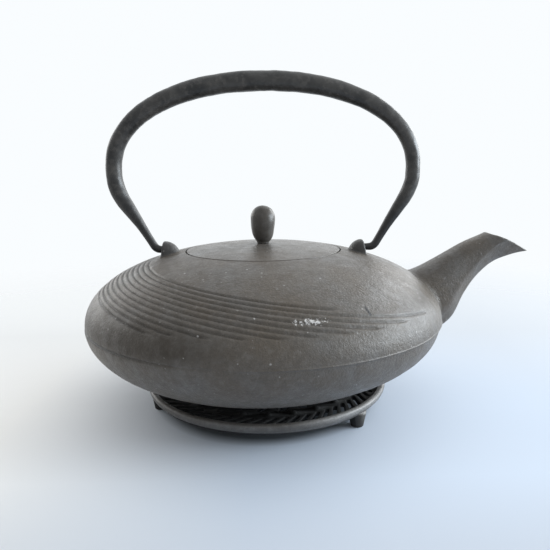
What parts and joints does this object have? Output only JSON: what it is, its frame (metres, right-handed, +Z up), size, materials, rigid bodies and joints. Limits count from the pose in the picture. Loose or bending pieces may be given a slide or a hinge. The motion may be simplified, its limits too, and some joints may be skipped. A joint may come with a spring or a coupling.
{
  "type": "teapot",
  "caption": "Squat round cast-iron teapot with a tall swinging bail, lift-off lid with an egg knob, beak spout and swirl grooves, on a round footed trivet.",
  "frame": {"origin": "on the surface that the trivet's feet stand on, under the middle of the whole length from the back of the pot to the tip of the spout", "axes": "+Z up; +X towards the tip of the spout; the bail's pivot axis runs along X"},
  "size_m": [0.2294, 0.1812, 0.1693],
  "materials": {
    "pot_iron": "fine sand-cast grain, semi-gloss lacquer",
    "lid_iron": "fine sand-cast grain, semi-gloss lacquer",
    "knob_iron": "smooth dark lacquer",
    "bail_iron": "satin black enamel over iron",
    "steel": "brushed",
    "steel_mesh": "finely perforated",
    "trivet_iron": "sand-cast, satin lacquer"
  },
  "bodies": {
    "trivet": {"trivet_rim": "trivet_iron", "trivet_grid": "trivet_iron", "trivet_feet": "trivet_iron"},
    "pot": {"pot_crown": "pot_iron", "pot_belly": "pot_iron", "spout": "pot_iron", "lug_spout_side": "pot_iron", "lug_back_side": "pot_iron"},
    "infuser": {"infuser_flange": "steel", "infuser_wall": "steel_mesh", "infuser_base": "steel_mesh"},
    "lid": {"lid": "lid_iron", "lid_knob": "knob_iron", "knob_washer": "steel"},
    "bail": {"bail": "bail_iron"}
  },
  "joints": [
    {"name": "pot_lift", "type": "slide", "parent": "trivet", "child": "pot", "axis": [0, 0, 1], "range_m": [0, 0.05]},
    {"name": "infuser_lift", "type": "slide", "parent": "pot", "child": "infuser", "axis": [0, 0, 1], "range_m": [0, 0.052]},
    {"name": "lid_lift", "type": "slide", "parent": "infuser", "child": "lid", "axis": [0, 0, 1], "range_m": [0, 0.05]},
    {"name": "bail_swing", "type": "hinge", "parent": "pot", "child": "bail", "pos_m": [-0.02408, 0, 0.0813], "axis": [1, 0, 0], "range_deg": [-97, 97]}
  ]
}
